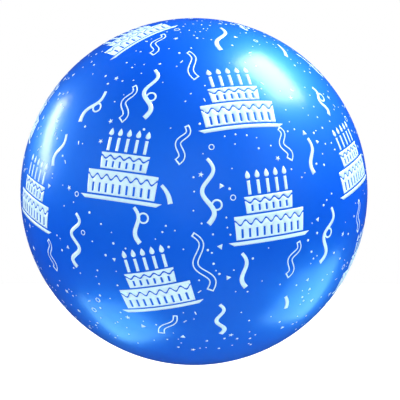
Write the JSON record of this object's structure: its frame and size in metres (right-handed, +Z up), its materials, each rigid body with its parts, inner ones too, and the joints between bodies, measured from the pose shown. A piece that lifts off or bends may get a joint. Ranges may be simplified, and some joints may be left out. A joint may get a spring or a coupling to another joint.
{
  "type": "latex balloon",
  "caption": "Large round latex balloon, inflated and tied, sapphire blue with a white all-round birthday print; its knot and flat tail bend.",
  "frame": {"origin": "middle of the gathered waist between the round body and the knot, where a ribbon is tied", "axes": "+Z runs up from the neck to the crown, -Y is the front of the print, +X is to the right seen from the front"},
  "size_m": [0.91, 0.9106, 0.986],
  "materials": {
    "latex": "gloss",
    "thick_latex": "gloss",
    "ink": "satin"
  },
  "bodies": {
    "balloon": {"envelope": "latex", "neck": "thick_latex", "print_front": "ink", "print_right": "ink", "print_back": "ink", "print_left": "ink", "print_crown": "ink"},
    "knot": {"knot": "thick_latex"},
    "tail": {"tail": "latex", "rolled_lip": "thick_latex"}
  },
  "joints": [
    {"name": "neck_bend", "type": "hinge", "parent": "balloon", "child": "knot", "pos_m": [0, 0, -0.0085], "axis": [0, 1, 0], "range_deg": [-30, 30], "stiffness_Nm_per_rad": 0.001},
    {"name": "tail_bend", "type": "hinge", "parent": "knot", "child": "tail", "pos_m": [0, 0, -0.025], "axis": [1, 0, 0], "range_deg": [-65, 65], "stiffness_Nm_per_rad": 0.001}
  ]
}
